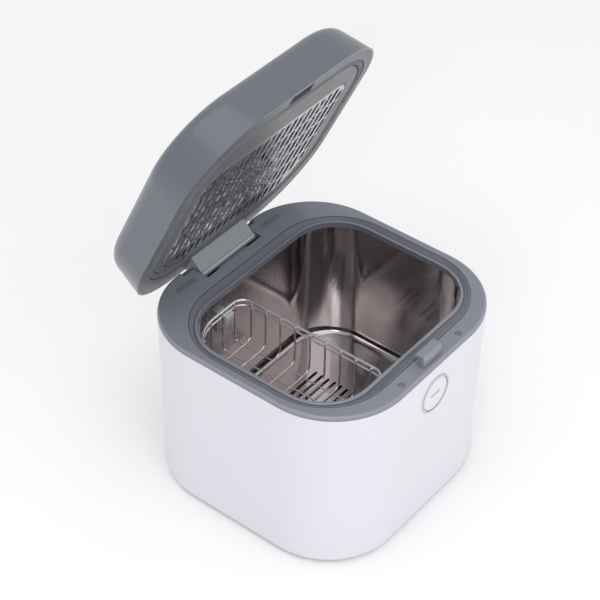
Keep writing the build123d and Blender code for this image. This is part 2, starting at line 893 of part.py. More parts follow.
def make_lamp_guard():
    plate = guard_slab(guard_ledge - slip, guard_z, guard_z + sheet)
    length = guard_high - guard_low - 2 * slot_margin
    slot_long = (length - (slot_rows - 1) * slot_bridge) / slot_rows
    columns = int((2 * guard_half - 2 * slot_margin) // slot_pitch)
    grid = GridLocations(slot_pitch, slot_long + slot_bridge, columns, slot_rows)
    slots = Sketch() + [place * Rectangle(slot_wide, slot_long) for place in grid]
    slots = Pos(0, guard_middle, guard_z - cut) * (slots & guard_outline(-slot_margin))
    return plate - extrude(slots, sheet + 2 * cut)


def reflector_face(z, inset):
    return Pos(0, guard_middle, z) * guard_outline(-inset)


def make_reflector():
    low = frame_top
    edge = least_corner
    outer = loft([reflector_face(low, edge),
                  reflector_face(reflector_top, edge + reflector_slope)], ruled=True)
    inner = loft([reflector_face(low, edge + sheet),
                  reflector_face(reflector_top - sheet, edge + sheet + reflector_slope)], ruled=True)
    foot = guard_slab(guard_ledge + reflector_foot, low, low + sheet)
    foot -= guard_slab(-reflector_foot, 0, low + cut)
    reflector = foot + outer - inner
    for x, y in driver_posts():
        reflector += post(x, y, driver_post, reflector_top - sheet / 2, reflector_top + driver_post)
    return reflector


def make_uv_lamps():
    half = lamp_length / 2 - cap_length
    return group([rod(lamp_radius, -half, half, y, lamp_z) for y in lamp_rows])


def make_lamp_caps():
    pieces = []
    for y in lamp_rows:
        for side in (-1, 1):
            ends = sorted((side * (lamp_length / 2 - cap_length), side * lamp_length / 2))
            pieces.append(chamfer(rod(lamp_radius + cap_step, ends[0], ends[1], y, lamp_z).edges(), cap_step))
    return group(pieces)


def make_lamp_holders():
    pieces = []
    for y in lamp_rows:
        for side in (-1, 1):
            ends = sorted((side * lamp_length / 2, side * (lamp_length / 2 + holder_thick)))
            block = span(ends[0], ends[1], y - holder_half, y + holder_half, lamp_z - holder_half,
                         reflector_top - sheet)
            pieces.append(fillet(block.edges().filter_by(Axis.X).sort_by(Axis.Z)[0:2], holder_round))
    return group(pieces)


def driver_posts():
    return [(a * driver_post_x, guard_middle + b * driver_post_y) for a, b in corners]


def make_lamp_driver():
    low = reflector_top + driver_post
    top = low + board_thick
    driver = slab(driver_wide, driver_deep, 2, low, top, y=guard_middle)
    driver += span(-30, -8, guard_middle - 10, guard_middle + 12, top, top + 6)
    for number in range(3):
        driver += post(8 + number * 10, guard_middle, 4, top, top + 5.5)
    return driver


def make_touch_board():
    return slab(touch_wide, touch_deep, 3, lid_inner_top - board_thick, lid_inner_top, y=touch_y)


def make_lid_magnet():
    return post(switch_x, -half_depth + magnet_inset, magnet_radius, frame_top, frame_top + magnet_thick)


# Bottom deck, feet and screws
def deck_posts():
    """Posts that carry the fan, the power board and the tub, with their radius and top."""
    half = fan_size / 2 - fan_screw
    fan = [(fan_x + a * half, fan_y + b * half, 3.5, fan_z) for a, b in corners]
    supply = [(supply_x + a * supply_post_x, supply_y + b * supply_post_y, 3.0, fan_z) for a, b in corners]
    tub = [(a * (mouth_half + chamber_side - tub_post_side), y, tub_post_radius, duct_top)
           for a in (-1, 1) for y in (mouth_front + tub_post_front, mouth_back - tub_post_back)]
    return fan + supply + tub


def make_base_plate():
    plate = body_slab(shell_taper + shell_wall + slip, deck_z, deck_top)
    for x, y, radius, top in deck_posts():
        plate += post(x, y, radius, deck_top, top)
    for row in range(intake_slots):
        over = (row - (intake_slots - 1) / 2) * intake_pitch
        long = 2 * math.sqrt(fan_bore ** 2 - over ** 2)
        slot = Pos(fan_x, fan_y + over, deck_z - cut) * SlotOverall(long, intake_wide)
        plate -= extrude(slot, deck_thick + 2 * cut)
    for side, end in corners:
        plate -= post(side * boss_x, end * boss_y, screw_radius + screw_hole, 0, deck_top + cut)
    return plate


def make_rubber_feet():
    pieces = []
    for side, end in corners:
        foot = post(side * (half_width - foot_inset), end * (half_depth - foot_inset), foot_radius, 0, deck_z)
        pieces.append(chamfer(bottom_edges(foot), 1.0))
    return group(pieces)


def make_base_screws():
    pieces = []
    for side, end in corners:
        x = side * boss_x
        y = end * boss_y
        head = chamfer(bottom_edges(post(x, y, base_head_radius, deck_z - base_head_tall, deck_z)), 0.6)
        pieces.append(head + post(x, y, screw_radius - screw_slack, deck_z - 1, boss_top - boss_floor))
    return group(pieces)


# Fan, duct and heater
def make_fan_housing():
    housing = slab(fan_size, fan_size, 4, fan_z, fan_top, x=fan_x, y=fan_y)
    housing -= post(fan_x, fan_y, fan_bore, fan_z - cut, fan_top + cut)
    for turn in (45, 135):
        arm = Box(2 * fan_bore + 2, fan_arm, fan_web)
        housing += Pos(fan_x, fan_y, fan_z + fan_web / 2) * Rot(0, 0, turn) * arm
    housing += post(fan_x, fan_y, hub_radius, fan_z, fan_z + fan_web)
    housing += post(fan_x, fan_y, bearing_radius, fan_z + fan_web / 2, fan_z + bearing_tall)
    return housing - post(fan_x, fan_y, shaft_radius + pin_fit, fan_z + 1, fan_top)


def make_fan_rotor():
    low = fan_z + fan_web + 0.5
    high = fan_top - 0.7
    rotor = fillet(top_edges(post(0, 0, hub_radius, low, high)), 1.5)
    rotor -= post(0, 0, bearing_radius + blade_gap, low - cut, fan_z + bearing_tall + 0.5)
    rotor += post(0, 0, shaft_radius, fan_z + 1.4, high - 1)
    blades = []
    for number in range(fan_blades):
        blade = Rot(blade_pitch, 0, 0) * Box(fan_bore, blade_chord, blade_thick)
        turn = Rot(0, 0, number * 360 / fan_blades)
        blades.append(turn * Pos(hub_radius - 1 + fan_bore / 2, 0, (low + high) / 2) * blade)
    swept = post(0, 0, fan_bore - blade_gap, low + 0.4, high - 0.3)
    return Pos(fan_x, fan_y, 0) * (rotor + [blade & swept for blade in blades])


def make_air_duct():
    inside = fan_size - 2 * duct_wall
    duct = slab(fan_size, fan_size, 4, fan_top, duct_top, x=fan_x, y=fan_y)
    return duct - slab(inside, inside, 0.5, fan_top - cut, duct_top + cut, x=fan_x, y=fan_y)


def make_heater():
    half = fan_size / 2 - duct_wall - slip
    heater = span(-half, half, -half, -half + heater_bar, 0, heater_tall)
    heater += span(-half, half, half - heater_bar, half, 0, heater_tall)
    for y in (-12, 12):
        heater += span(-half + heater_bar, half - heater_bar, y - 1.5, y + 1.5, 1, heater_tall - 1)
    count = int((2 * half - 10) // fin_pitch)
    fins = []
    for number in range(count + 1):
        x = (number - count / 2) * fin_pitch
        fins.append(span(x - fin_thick / 2, x + fin_thick / 2, -half + heater_bar - 0.5,
                         half - heater_bar + 0.5, 0.5, heater_tall - 0.5))
    return Pos(fan_x, fan_y, fan_top + heater_gap) * (heater + fins)


# Mains inlet and power board
def make_power_inlet():
    plate = Box(inlet_wide + 2 * inlet_edge, inlet_tall + 2 * inlet_edge, inlet_flange)
    inlet = fillet(top_edges(Pos(0, 0, inlet_flange / 2) * plate), 0.5)
    inlet += Pos(0, 0, -inlet_deep / 2) * Box(inlet_wide, inlet_tall, inlet_deep)
    socket = SlotOverall(inlet_wide - 2 * socket_wall, inlet_tall - 2 * socket_wall)
    inlet -= extrude(Pos(0, 0, -inlet_deep + 4) * socket, inlet_deep)
    for side in (-1, 1):
        inlet += Pos(side * contact_place, 0, -inlet_deep + 3.5 + contact_long / 2) * Cylinder(
            contact_radius, contact_long)
    return back_place(inlet_x, inlet_z) * inlet


def make_power_board():
    return slab(supply_wide, supply_deep, 2, fan_z, fan_z + board_thick, x=supply_x, y=supply_y)


def make_board_parts():
    low = fan_z + board_thick
    pieces = [
        chamfer(span(-18, 8, -14, 10, low, low + 20).edges().filter_by(Axis.Z), 1.0),
        post(16, -26, 7, low, low + 18),
        post(-14, -28, 5, low, low + 14),
        span(-22, 2, 30, 42, low, low + 8),
        post(17, 24, 6, low, low + 12),
        span(14, 18, -10, 8, low, low + 16),
    ]
    return group([Pos(supply_x, supply_y, 0) * piece for piece in pieces])


def make_lid_switch():
    front = -half_depth + switch_inset - switch_thick / 2
    return span(switch_x - switch_wide / 2, switch_x + switch_wide / 2, front, front + switch_thick,
                shell_top - switch_tall, shell_top)


pieces_at_rest = {
    "outer_shell": make_outer_shell,
    "top_rim": make_top_rim,
    "rim_bumpers": make_rim_bumpers,
    "chamber_liner": make_chamber_liner,
    "basket_supports": make_basket_supports,
    "hinge_bracket": make_hinge_bracket,
    "hinge_pin": make_hinge_pin,
    "latch_hook": make_latch_hook,
    "latch_bracket": make_latch_bracket,
    "latch_pin": make_latch_pin,
    "button_ring": make_button_ring,
    "open_button": make_open_button,
    "button_mark": make_button_mark,
    "basket_rim": make_basket_rim,
    "basket_cross_wires": make_basket_cross_wires,
    "basket_long_wires": make_basket_long_wires,
    "base_plate": make_base_plate,
    "rubber_feet": make_rubber_feet,
    "base_screws": make_base_screws,
    "fan_housing": make_fan_housing,
    "fan_rotor": make_fan_rotor,
    "air_duct": make_air_duct,
    "heater": make_heater,
    "power_inlet": make_power_inlet,
    "power_board": make_power_board,
    "board_parts": make_board_parts,
    "lid_switch": make_lid_switch,
}
pieces_on_lid = {
    "hinge_arm": make_hinge_arm,
    "lid_shell": make_lid_shell,
    "lid_frame": make_lid_frame,
    "latch_keeper": make_latch_keeper,
    "lid_seal": make_lid_seal,
    "lid_screws": make_lid_screws,
    "lamp_guard": make_lamp_guard,
    "reflector": make_reflector,
    "uv_lamps": make_uv_lamps,
    "lamp_caps": make_lamp_caps,
    "lamp_holders": make_lamp_holders,
    "lamp_driver": make_lamp_driver,
    "touch_board": make_touch_board,
    "lid_magnet": make_lid_magnet,
}

for name, make in pieces_at_rest.items():
    export_step(make(), "parts/" + name + ".step")
for name, make in pieces_on_lid.items():
    export_step(opened(make()), "parts/" + name + ".step")
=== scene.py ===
import json
import math

import bpy
import bmesh
from mathutils import Matrix, Vector


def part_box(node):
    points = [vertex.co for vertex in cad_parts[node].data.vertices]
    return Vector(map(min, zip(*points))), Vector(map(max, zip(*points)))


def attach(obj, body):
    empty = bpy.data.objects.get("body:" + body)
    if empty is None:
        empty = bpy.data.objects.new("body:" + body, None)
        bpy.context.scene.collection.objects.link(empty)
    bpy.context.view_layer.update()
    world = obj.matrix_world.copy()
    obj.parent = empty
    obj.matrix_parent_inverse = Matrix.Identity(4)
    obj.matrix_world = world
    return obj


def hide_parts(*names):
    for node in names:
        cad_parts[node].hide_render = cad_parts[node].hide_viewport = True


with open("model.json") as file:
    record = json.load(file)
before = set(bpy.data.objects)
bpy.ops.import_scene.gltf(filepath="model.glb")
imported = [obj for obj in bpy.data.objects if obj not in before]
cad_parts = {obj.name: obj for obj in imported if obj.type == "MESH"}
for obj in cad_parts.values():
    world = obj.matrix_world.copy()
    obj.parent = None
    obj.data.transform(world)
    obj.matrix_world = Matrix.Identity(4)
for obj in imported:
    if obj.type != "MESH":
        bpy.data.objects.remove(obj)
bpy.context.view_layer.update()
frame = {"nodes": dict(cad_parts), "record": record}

MM = 0.001
scene = bpy.context.scene

# Camera, fitted to the photograph: degrees, millimetres, metres and pixels
AZIMUTH, ELEVATION, ROLL = -52.44, 41.03, 1.11
TARGET = (5.12, 31.14, 179.74)
DISTANCE = 1.8614
FOCAL_PIXELS, PICTURE_WIDTH = 1936.7, 600
SENSOR_WIDTH = 36.0
NEAR_CLIP, FAR_CLIP = 0.05, 60.0

# Hinge pin of the lid and its angle from closed to open
PIN_Y, PIN_Z = 129.6, 190.1
OPEN_ANGLE = 65.0

# Lamp window of the closed lid: half width, ends, and bends at the front and back
WINDOW_HALF, WINDOW_FRONT, WINDOW_BACK = 103.0, -72.0, 94.5
FRONT_BEND, BACK_BEND = 20.0, 46.0

# Finish of each material slot, and of the hinge plate's lip
PLASTICS = {
    "shell_white": dict(color=(0.715, 0.69, 0.75), rough=0.34, vary=0.03, grain=700.0, depth=0.00001,
                        coat=0.25, patch=0.008),
    "rim_grey": dict(color=(0.225, 0.238, 0.268), rough=0.34, vary=0.05, grain=1500.0, depth=0.00002,
                     coat=0.25),
    "lid_grey": dict(color=(0.115, 0.124, 0.15), rough=0.34, grain=500.0, depth=0.00001, coat=0.35,
                     patch=0.02),
    "lid_inner": dict(color=(0.118, 0.124, 0.128), rough=0.38, vary=0.05, grain=1500.0, depth=0.00002),
    "support_plastic": dict(color=(0.50, 0.52, 0.55), rough=0.35, vary=0.05),
    "ring_grey": dict(color=(0.46, 0.46, 0.5), rough=0.25, vary=0.03, coat=0.4),
    "mark_grey": dict(color=(0.28, 0.29, 0.33), rough=0.5),
    "base_plastic": dict(color=(0.12, 0.125, 0.14), rough=0.55, vary=0.06, depth=0.00006),
    "dark_plastic": dict(color=(0.022, 0.022, 0.025), rough=0.5, vary=0.06, depth=0.00005),
    "holder_white": dict(color=(0.62, 0.61, 0.58), rough=0.5),
    # The hinge lip's grey is lighter than the plate's as a painted highlight along the lip; its low
    # roughness and coat are real gloss
    "hinge_edge": dict(color=(0.33, 0.345, 0.38), rough=0.2, grain=1200.0, depth=0.00001, coat=0.6),
}
RUBBERS = {
    "bumper_rubber": dict(color=(0.155, 0.163, 0.188)),
    "foot_rubber": dict(color=(0.03, 0.03, 0.033)),
    "seal_rubber": dict(color=(0.13, 0.137, 0.155), rough=0.6),
}
METALS = {
    "chamber_steel": dict(color=(0.5, 0.465, 0.465), rough=0.13, grain=(900.0, 900.0, 40.0), depth=0.000004,
                          wave=0.0004),
    "sheet_steel": dict(color=(0.56, 0.56, 0.57), rough=0.3),
    "guard_steel": dict(color=(0.50, 0.51, 0.53), rough=0.28, vary=0.06, grain=(60.0, 1500.0, 1500.0),
                        depth=0.000006),
    "pin_steel": dict(color=(0.60, 0.60, 0.61), rough=0.25),
    "wire_steel": dict(color=(0.78, 0.77, 0.77), rough=0.12, grain=(1200.0, 1200.0, 1200.0), depth=0.000004),
    "fin_aluminium": dict(color=(0.68, 0.69, 0.70), rough=0.32),
}
# Rim tones: the deck's own grey, a darker tone painted on the slope as shade, and a lighter tone painted on
# the outer edge as a highlight
RIM_DECK, RIM_SLOPE_SHADE, RIM_EDGE_HIGHLIGHT = (0.21, 0.222, 0.252), (0.125, 0.133, 0.165), (0.265, 0.278, 0.308)

# Light comes from the world and from soft squares: place, aim, size and power
WORLD_COLOR, WORLD_STRENGTH = (0.97, 0.97, 1.0, 1), 0.72
LIGHTS = {
    "overhead": ((-0.3, 0.3, 2.4), (0, 0, 0.15), 2.2, 14),
    "front_soft": ((-0.9, -1.8, 1.6), (0, 0, 0.2), 1.8, 11),
    "left_soft": ((-2.2, -1.1, 1.7), (0, 0.1, 0.2), 0.8, 12),
    "right_soft": ((1.8, -1.6, 1.2), (0, 0, 0.15), 1.4, 4),
    "low_soft": ((0.2, -2.2, 0.8), (0, 0.1, 0.3), 1.2, 3),
}
FLOOR_REACH = 14.0


def make_camera():
    azimuth, elevation, roll = map(math.radians, (AZIMUTH, ELEVATION, ROLL))
    target = Vector(TARGET) * MM
    back = Vector((math.sin(azimuth) * math.cos(elevation), -math.cos(azimuth) * math.cos(elevation),
                   math.sin(elevation)))
    right = (-back).cross(Vector((0, 0, 1))).normalized()
    up = right.cross(-back)
    across = right * math.cos(roll) + up * math.sin(roll)
    upward = up * math.cos(roll) - right * math.sin(roll)
    data = bpy.data.cameras.new("camera")
    data.sensor_width = SENSOR_WIDTH
    data.lens = SENSOR_WIDTH * FOCAL_PIXELS / PICTURE_WIDTH
    data.clip_start = NEAR_CLIP
    data.clip_end = FAR_CLIP
    camera = bpy.data.objects.new("camera", data)
    scene.collection.objects.link(camera)
    turn = Matrix((across, upward, back)).transposed()
    camera.matrix_world = Matrix.Translation(target + back * DISTANCE) @ turn.to_4x4()
    scene.camera = camera


def tone(color, factor):
    """Lighter or darker colour."""
    return tuple(min(1.0, channel * factor) for channel in color)


class Shader:
    """One procedural material: a Principled shader fed by noise in the piece's own coordinates."""

    def __init__(self, name):
        self.material = bpy.data.materials.new(name)
        self.material.use_nodes = True
        self.tree = self.material.node_tree
        self.shader = self.tree.nodes["Principled BSDF"]
        self.place = self.add("ShaderNodeTexCoord").outputs["Object"]

    def add(self, kind, **settings):
        node = self.tree.nodes.new(kind)
        for key, value in settings.items():
            setattr(node, key, value)
        return node

    def link(self, source, target):
        self.tree.links.new(source, target)

    def set(self, **values):
        """Gives sockets of the shader the same value all over the surface."""
        for key, value in values.items():
            self.shader.inputs[key.replace("_", " ")].default_value = value

    def feed(self, **sources):
        """Links sockets of the shader to other nodes."""
        for key, source in sources.items():
            self.link(source, self.shader.inputs[key.replace("_", " ")])

    def stretch(self, scale):
        """Coordinates scaled by a different amount along each axis."""
        node = self.add("ShaderNodeMapping")
        node.inputs["Scale"].default_value = scale
        self.link(self.place, node.inputs["Vector"])
        return node.outputs["Vector"]

    def split(self, vector):
        """X, Y and Z of a vector."""
        node = self.add("ShaderNodeSeparateXYZ")
        self.link(vector, node.inputs["Vector"])
        return node.outputs

    def noise(self, scale, detail=3.0, place=None, distortion=0.0):
        node = self.add("ShaderNodeTexNoise")
        node.inputs["Scale"].default_value = scale
        node.inputs["Detail"].default_value = detail
        node.inputs["Distortion"].default_value = distortion
        self.link(place or self.place, node.inputs["Vector"])
        return node.outputs["Fac"]

    def math(self, kind, first, second):
        node = self.add("ShaderNodeMath", operation=kind)
        for socket, value in zip(node.inputs, (first, second)):
            if isinstance(value, (int, float)):
                socket.default_value = value
            else:
                self.link(value, socket)
        return node.outputs["Value"]

    def mix(self, share, first, second):
        """Colour that goes from the first to the second as the share grows."""
        node = self.add("ShaderNodeMix", data_type="RGBA")
        for socket, source in (("Factor", share), ("A", first), ("B", second)):
            self.link(source, node.inputs[socket])
        return node.outputs["Result"]

    def blend(self, value, low, high):
        """Colour that eases from low to high over the middle of a value's range."""
        ramp = self.add("ShaderNodeValToRGB")
        ramp.color_ramp.interpolation = "EASE"
        for element, position, color in zip(ramp.color_ramp.elements, (0.2, 0.8), (low, high)):
            element.position = position
            element.color = (*color, 1)
        self.link(value, ramp.inputs["Fac"])
        return ramp.outputs["Color"]

    def spread(self, value, low, high, start=0.15, end=0.85):
        """Number that runs from low to high while a value runs from start to end."""
        node = self.add("ShaderNodeMapRange", interpolation_type="SMOOTHSTEP")
        node.inputs["From Min"].default_value = start
        node.inputs["From Max"].default_value = end
        node.inputs["To Min"].default_value = low
        node.inputs["To Max"].default_value = high
        self.link(value, node.inputs["Value"])
        return node.outputs["Result"]

    def cloudy(self, color, darkest, lightest, scale, detail=4.0):
        """Colour that wanders between two tones of itself."""
        return self.blend(self.noise(scale, detail), tone(color, darkest), tone(color, lightest))

    def uneven(self, low, high, scale, detail=3.0):
        """Gives the surface a roughness that wanders between two values."""
        self.feed(Roughness=self.spread(self.noise(scale, detail), low, high))

    def bump(self, height, distance, under=None):
        """Relief from a value, on top of another relief where one is given."""
        node = self.add("ShaderNodeBump")
        node.inputs["Distance"].default_value = distance
        self.link(height, node.inputs["Height"])
        if under:
            self.link(under, node.inputs["Normal"])
        self.feed(Normal=node.outputs["Normal"])
        return node.outputs["Normal"]


def plastic(name, color, rough, vary=0.04, grain=900.0, depth=0.00003, coat=0.0, patch=0.03):
    """Moulded plastic: faint cloudy colour, uneven gloss and a fine moulded grain."""
    s = Shader(name)
    s.feed(Base_Color=s.cloudy(color, 1 - patch, 1 + patch, scale=9.0))
    s.uneven(rough - vary, rough + vary, scale=35.0, detail=5.0)
    s.bump(s.noise(grain, detail=2.0), depth)
    s.set(Coat_Weight=coat, Coat_Roughness=0.08)
    return s.material


def rim_plastic(name, color, slope_shade_tone, light):
    """Moulded plastic with painted shade on its slope towards the chamber and a painted highlight on its
    outer edge.
    """
    s = Shader(name)
    lean = s.split(s.add("ShaderNodeNewGeometry").outputs["True Normal"])
    away = s.split(s.place)
    outward = s.math("ADD", s.math("MULTIPLY", lean["X"], away["X"]),
                     s.math("MULTIPLY", lean["Y"], away["Y"]))
    # Painted shade: faces that tilt in towards the chamber take the darker tone
    inward = s.spread(outward, 1.0, 0.0, start=-0.012, end=-0.004)
    tilted = s.spread(lean["Z"], 1.0, 0.0, start=0.975, end=0.999)
    slope_shade = s.math("MULTIPLY", inward, tilted)
    # Painted highlight: the outward-facing rounding of the outer edge takes the lighter tone
    edge = s.math("MULTIPLY", s.spread(outward, 0.0, 1.0, start=0.02, end=0.05),
                  s.spread(lean["Z"], 0.0, 1.0, start=0.25, end=0.6))
    deck = s.mix(slope_shade, s.cloudy(color, 0.97, 1.03, scale=9.0), s.cloudy(slope_shade_tone, 0.96, 1.04, scale=14.0))
    s.feed(Base_Color=s.mix(edge, deck, s.cloudy(light, 0.94, 1.0, scale=60.0)))
    s.uneven(0.31, 0.41, scale=35.0, detail=5.0)
    s.bump(s.noise(1500.0, detail=2.0), 0.00002)
    s.set(Coat_Weight=0.15, Coat_Roughness=0.08)
    return s.material


def metal(name, color, rough, vary=0.05, grain=(1500.0, 60.0, 1500.0), depth=0.00001, wave=0.0):
    """Sheet or wire metal: drawn grain, smudged gloss and, where asked, a slow waviness."""
    s = Shader(name)
    lines = s.noise(1.0, place=s.stretch(grain))
    s.feed(Base_Color=s.cloudy(color, 0.95, 1.05, scale=14.0))
    smudges = s.noise(22.0, detail=5.0)
    smear = s.math("ADD", s.math("MULTIPLY", smudges, 0.6), s.math("MULTIPLY", lines, 0.4))
    s.feed(Roughness=s.spread(smear, rough - vary, rough + vary))
    s.set(Metallic=1.0)
    soft = s.bump(s.noise(11.0, detail=2.0), wave) if wave else None
    s.bump(lines, depth, under=soft)
    return s.material


def rubber(name, color, rough=0.75):
    s = Shader(name)
    s.feed(Base_Color=s.cloudy(color, 0.9, 1.12, scale=40.0, detail=5.0))
    s.uneven(rough - 0.08, rough + 0.08, scale=120.0, detail=4.0)
    s.bump(s.noise(1400.0), 0.00004)
    s.set(Specular_IOR_Level=0.35)
    return s.material


def crinkled_foil(name, color):
    """Bright reflector sheet with creased facets."""
    s = Shader(name)
    cells = s.add("ShaderNodeTexVoronoi", feature="SMOOTH_F1")
    cells.inputs["Scale"].default_value = 85.0
    cells.inputs["Smoothness"].default_value = 0.25
    s.link(s.place, cells.inputs["Vector"])
    soft = s.bump(cells.outputs["Distance"], 0.006)
    s.bump(s.noise(240.0, detail=4.0, distortion=0.6), 0.0012, under=soft)
    s.feed(Base_Color=s.cloudy(color, 0.92, 1.0, scale=30.0, detail=3.0))
    s.uneven(0.08, 0.2, scale=60.0)
    s.set(Metallic=1.0)
    return s.material


def glass_tube(name):
    s = Shader(name)
    s.feed(Base_Color=s.blend(s.noise(18.0), (0.93, 0.95, 1.0), (0.99, 0.99, 1.0)))
    s.uneven(0.02, 0.08, scale=60.0, detail=4.0)
    s.bump(s.noise(30.0, detail=2.0), 0.00002)
    s.set(Transmission_Weight=1.0, IOR=1.47)
    return s.material


def circuit_board(name):
    """Green board with a pattern of tracks."""
    s = Shader(name)
    tracks = s.add("ShaderNodeTexBrick", offset=0.35)
    tracks.inputs["Scale"].default_value = 160.0
    tracks.inputs["Mortar Size"].default_value = 0.06
    tracks.inputs["Color1"].default_value = (0.010, 0.075, 0.030, 1)
    tracks.inputs["Color2"].default_value = (0.014, 0.095, 0.038, 1)
    tracks.inputs["Mortar"].default_value = (0.03, 0.16, 0.06, 1)
    s.link(s.place, tracks.inputs["Vector"])
    s.feed(Base_Color=tracks.outputs["Color"])
    s.uneven(0.3, 0.5, scale=80.0)
    s.bump(tracks.outputs["Fac"], 0.00005)
    return s.material


def pale_floor(name):
    s = Shader(name)
    s.feed(Base_Color=s.blend(s.noise(3.0), (0.945, 0.94, 0.93), (0.96, 0.955, 0.945)))
    s.uneven(0.55, 0.65, scale=25.0)
    s.bump(s.noise(400.0), 0.00002)
    s.set(Specular_IOR_Level=0.2)
    return s.material


def make_materials():
    """Finish of each material slot of the record."""
    made = {name: plastic(name, **values) for name, values in PLASTICS.items()}
    made.update({name: rubber(name, **values) for name, values in RUBBERS.items()})
    made.update({name: metal(name, **values) for name, values in METALS.items()})
    made["reflector_aluminium"] = crinkled_foil("reflector_aluminium", (0.56, 0.56, 0.57))
    made["lamp_glass"] = glass_tube("lamp_glass")
    made["board_green"] = circuit_board("board_green")
    return made


def paint_nodes(materials):
    """Each CAD node gets its slot's finish, and the rim a finish of its own."""
    # The rim's finish carries painted shade on its slope and a painted highlight on its outer edge
    deck = rim_plastic("rim_deck", RIM_DECK, RIM_SLOPE_SHADE, RIM_EDGE_HIGHLIGHT)
    for entry in frame["record"]["subparts"]:
        finishes = frame["nodes"][entry["node"]].data.materials
        finishes.clear()
        finishes.append(deck if entry["node"] == "top_rim" else materials[entry["material_slot"]])


def arc(middle, radius, start, steps, sweep=90):
    """Points along a bend that begins at an angle, in degrees."""
    points = []
    for step in range(steps + 1):
        turn = math.radians(start + sweep * step / steps)
        points.append((middle[0] + radius * math.cos(turn), middle[1] + radius * math.sin(turn)))
    return points


def join_rings(mesh, one, two):
    """Band of faces between two closed rings with as many points each."""
    for k in range(len(one)):
        after = (k + 1) % len(one)
        mesh.faces.new((one[k], one[after], two[after], two[k]))


def finish_piece(name, mesh, material, body, slot, *replaced):
    """Turns a bmesh into a smooth piece that rides on a body and, where asked, stands for CAD nodes."""
    sharp = math.radians(40)
    bmesh.ops.recalc_face_normals(mesh, faces=mesh.faces)
    for face in mesh.faces:
        face.smooth = True
    for edge in mesh.edges:
        edge.smooth = len(edge.link_faces) == 2 and edge.calc_face_angle(0) < sharp
    data = bpy.data.meshes.new(name)
    mesh.to_mesh(data)
    mesh.free()
    data.materials.append(material)
    piece = bpy.data.objects.new(name, data)
    scene.collection.objects.link(piece)
    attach(piece, body)
    if replaced:
        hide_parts(*replaced)


def rounded(points, bends, closed=False, steps=10):
    """Path through straight runs, each corner rounded by its own bend."""
    path = []
    count = len(points)
    for number, corner in enumerate(points):
        if not closed and number in (0, count - 1):
            path.append(corner)
            continue
        before = (points[number - 1] - corner).normalized()
        after = (points[(number + 1) % count] - corner).normalized()
        half = before.angle(after) / 2
        reach = bends[number] / math.tan(half)
        middle = corner + (before + after).normalized() * bends[number] / math.sin(half)
        start = corner + before * reach - middle
        end = corner + after * reach - middle
        sweep = start.angle(end)
        for step in range(steps + 1):
            share = step / steps
            spoke = start * math.sin((1 - share) * sweep) + end * math.sin(share * sweep)
            path.append(middle + spoke / math.sin(sweep))
    return path


def tube(mesh, path, radius, closed=False):
    """Round wire along a path, with domed ends where it isn't closed."""
    sides, dome = 14, 0.6
    rings = []
    count = len(path)
    normal = None
    for number, point in enumerate(path):
        ahead = path[(number + 1) % count] if closed or number < count - 1 else point
        behind = path[number - 1] if closed or number > 0 else point
        along = (ahead - behind).normalized()
        if normal is None:
            normal = along.orthogonal().normalized()
        normal = (normal - along * normal.dot(along)).normalized()
        other = along.cross(normal)
        ring = []
        for side in range(sides):
            turn = 2 * math.pi * side / sides
            ring.append(mesh.verts.new(point + (normal * math.cos(turn) + other * math.sin(turn)) * radius))
        rings.append(ring)
    for one, two in zip(rings, rings[1:]):
        join_rings(mesh, one, two)
    first, last = rings[0], rings[-1]
    if closed:
        shift = min(range(sides), key=lambda k: (last[0].co - first[k].co).length)
        join_rings(mesh, last, first[shift:] + first[:shift])
        return
    for ring, end, inner in ((first, path[0], path[1]), (last, path[-1], path[-2])):
        tip = mesh.verts.new(end + (end - inner).normalized() * radius * dome)
        for side in range(sides):
            mesh.faces.new((ring[side], ring[(side + 1) % sides], tip))


def make_basket(material):
    """Smooth round wires in the place of the basket's CAD wires, with wide bends at the left."""
    left, right, front, back = -109.5, -23.0, -91.5, 81.3
    wide_bend, tight_bend = 46.0, 12.0
    top, second, floor = 175.5, 169.4, 130.0
    pitch = 18.0

    def loop(mesh, inset, z, radius):
        corners = ((left + inset, front + inset), (right - inset, front + inset),
                   (right - inset, back - inset), (left + inset, back - inset))
        points = [Vector((x, y, z)) * MM for x, y in corners]
        bends = [(bend - inset) * MM for bend in (wide_bend, tight_bend, tight_bend, wide_bend)]
        tube(mesh, rounded(points, bends, closed=True, steps=20), radius * MM, closed=True)

    def hanging_wire(mesh, points, bend, radius):
        points = [Vector(point) * MM for point in points]
        tube(mesh, rounded(points, [0, bend * MM, bend * MM, 0]), radius * MM)

    rim = bmesh.new()
    loop(rim, 0.0, top, 1.5)
    loop(rim, 0.4, second, 1.1)
    finish_piece("basket_rim_wires", rim, material, "basket", "wire_steel", "basket_rim")

    inset, first, count = 2.2, 14.4, 9
    cross = bmesh.new()
    for number in range(count):
        y = front + first + number * pitch
        over = max(front + wide_bend - y, y - back + wide_bend, 0.0)
        start = left + wide_bend - math.sqrt((wide_bend - inset) ** 2 - over ** 2)
        hanging_wire(cross, ((right - inset, y, top), (right - inset, y, floor), (start, y, floor),
                             (start, y, top)), bend=8, radius=0.95)
    finish_piece("basket_floor_wires", cross, material, "basket", "wire_steel", "basket_cross_wires")

    inset, first, count = 2.05, 12.0, 4
    low = floor - 1.6
    long = bmesh.new()
    for number in range(count):
        x = right - first - number * pitch
        over = max(left + wide_bend - x, 0.0)
        drop = wide_bend - math.sqrt((wide_bend - inset) ** 2 - over ** 2)
        hanging_wire(long, ((x, front + drop, top), (x, front + drop, low), (x, back - drop, low),
                            (x, back - drop, top)), bend=4, radius=0.8)
    finish_piece("basket_long_floor_wires", long, material, "basket", "wire_steel", "basket_long_wires")


def opened(x, y, z):
    """Place on the open lid of a point that is given for the closed lid."""
    turn = math.radians(OPEN_ANGLE)
    ahead, above = y - PIN_Y, z - PIN_Z
    return Vector((x, PIN_Y + ahead * math.cos(turn) + above * math.sin(turn),
                   PIN_Z - ahead * math.sin(turn) + above * math.cos(turn))) * MM


